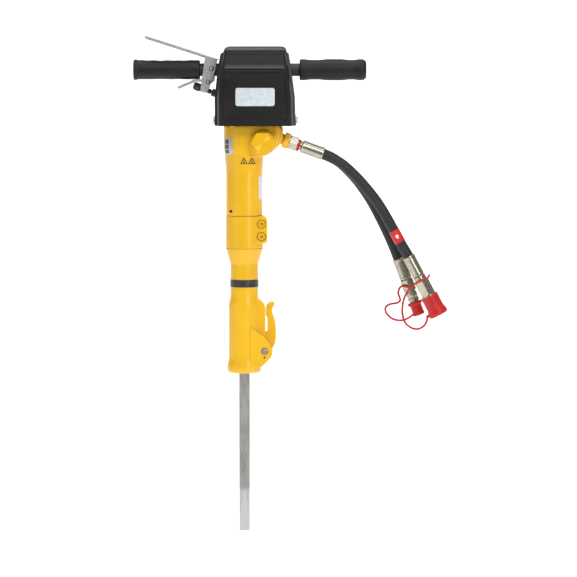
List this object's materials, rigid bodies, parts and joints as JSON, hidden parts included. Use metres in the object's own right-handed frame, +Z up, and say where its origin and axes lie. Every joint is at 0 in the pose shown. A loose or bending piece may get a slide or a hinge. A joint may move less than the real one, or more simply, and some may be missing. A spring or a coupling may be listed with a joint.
{
  "type": "hydraulic breaker hammer",
  "caption": "Handheld hydraulic breaker with a sprung two-grip handle, side trigger, tail hoses with capped couplings, swing latch and hexagon chisel.",
  "frame": {"origin": "middle of the chisel's cutting edge", "axes": "+Z up the tool axis towards the handles, -Y the front with the valve plug, +X towards the hoses and the retainer latch"},
  "size_m": [0.6631, 0.1452, 1.0506],
  "materials": {
    "yellow_paint": "gloss enamel over cast steel",
    "tool_steel": "forged and ground, dull",
    "machined_steel": "ground",
    "bronze": "machined bronze",
    "bright_zinc": "bright zinc plate",
    "yellow_zinc": "yellow passivated zinc",
    "galvanised_sheet": "galvanised sheet",
    "black_oxide": "black oxide",
    "spring_steel": "oiled spring wire",
    "hood_plastic": "moulded, satin grain",
    "badge": "blank label",
    "label_plate": "blank riveted plate",
    "label_white": "blank label",
    "black_band": "blank wrap band",
    "grip_rubber": "moulded grip",
    "seal_rubber": "nitrile",
    "hose_rubber": "wrapped hose cover",
    "red_plastic": "soft moulded plastic",
    "red_cord": "moulded cord"
  },
  "bodies": {
    "handle": {"handle_frame": "black_oxide", "handle_tube": "black_oxide", "left_grip": "grip_rubber", "right_grip": "grip_rubber", "hood": "hood_plastic", "hood_badge": "badge", "hood_bolts": "bright_zinc", "hood_washers": "bright_zinc", "trigger_pin": "bright_zinc", "rod_boot": "seal_rubber"},
    "trigger": {"trigger_lever": "galvanised_sheet"},
    "safety_latch": {"safety_latch": "galvanised_sheet"},
    "push_rod": {"push_rod": "bright_zinc"},
    "hammer": {"front_head": "yellow_paint", "lower_tool_sleeve": "machined_steel", "tool_bushing": "bronze", "piston_guide": "bronze", "piston_seals": "seal_rubber", "latch_pin": "bright_zinc", "latch_roll_pin": "black_oxide", "name_band": "black_band", "clamp_collar": "yellow_paint", "clamp_screws": "bright_zinc", "cylinder_liner": "machined_steel", "backhead": "yellow_paint", "spool_spring": "spring_steel", "valve_plug": "yellow_paint", "plug_seal": "seal_rubber", "relief_spring": "spring_steel", "suspension_bridge": "black_oxide", "guide_posts": "machined_steel", "post_nuts": "bright_zinc", "suspension_springs": "spring_steel", "accumulator_housing": "black_oxide", "accumulator_diaphragm": "seal_rubber", "accumulator_cap": "yellow_paint", "charging_plug": "bright_zinc", "data_plate": "label_plate", "side_plate": "label_white", "grub_screw": "black_oxide", "hose_adapters": "yellow_paint", "hose_nuts": "yellow_zinc", "colour_ring": "red_plastic", "near_ferrules": "yellow_zinc", "front_hose": "hose_rubber", "rear_hose": "hose_rubber", "hose_flag": "red_plastic", "far_ferrules": "yellow_zinc", "female_coupling": "yellow_zinc", "male_coupling": "yellow_zinc", "dust_cap": "red_plastic", "dust_plug": "red_plastic", "cap_lanyard": "red_cord", "plug_lanyard": "red_cord"},
    "retainer_latch": {"retainer_latch": "yellow_paint"},
    "chisel": {"chisel": "tool_steel"},
    "piston": {"piston": "machined_steel"},
    "distributor_valve": {"distributor_valve": "machined_steel"},
    "start_spool": {"start_spool": "machined_steel"},
    "relief_poppet": {"relief_poppet": "machined_steel"}
  },
  "joints": [
    {"name": "handle_suspension", "type": "slide", "parent": "handle", "child": "hammer", "axis": [0, 0, 1], "range_m": [0, 0.01], "stiffness_N_per_m": 20000, "springref_m": -0.004, "deforming": ["suspension_springs"]},
    {"name": "trigger_pivot", "type": "hinge", "parent": "handle", "child": "trigger", "pos_m": [-0.0689, 0, 0.9818], "axis": [0, -1, 0], "range_deg": [0, 15], "stiffness_Nm_per_rad": 4, "springref_deg": -11.46},
    {"name": "safety_latch_pivot", "type": "hinge", "parent": "trigger", "child": "safety_latch", "pos_m": [-0.0761, 0, 0.954], "axis": [0, -1, 0], "range_deg": [0, 15], "stiffness_Nm_per_rad": 0.3, "springref_deg": -17.19},
    {"name": "push_rod_slide", "type": "slide", "parent": "handle", "child": "push_rod", "axis": [0.9397, 0, -0.342], "range_m": [0, 0.0125]},
    {"name": "start_spool_slide", "type": "slide", "parent": "hammer", "child": "start_spool", "axis": [1, 0, 0], "range_m": [0, 0.0118]},
    {"name": "retainer_latch_pivot", "type": "hinge", "parent": "hammer", "child": "retainer_latch", "pos_m": [0.043, 0, 0.3854], "axis": [0, 1, 0], "range_deg": [0, 75]},
    {"name": "chisel_slide", "type": "slide", "parent": "hammer", "child": "chisel", "axis": [0, 0, 1], "range_m": [0, 0.025]},
    {"name": "piston_slide", "type": "slide", "parent": "hammer", "child": "piston", "axis": [0, 0, 1], "range_m": [0, 0.03]},
    {"name": "distributor_slide", "type": "slide", "parent": "hammer", "child": "distributor_valve", "axis": [0, 0, 1], "range_m": [0, 0.008]},
    {"name": "relief_slide", "type": "slide", "parent": "hammer", "child": "relief_poppet", "axis": [0, -1, 0], "range_m": [0, 0.003], "stiffness_N_per_m": 3000, "springref_m": -0.001}
  ],
  "couplings": [
    {"joint": "push_rod_slide", "follows": "trigger_pivot", "m_per_rad": 0.04664},
    {"joint": "start_spool_slide", "follows": "trigger_pivot", "m_per_rad": 0.04383}
  ]
}
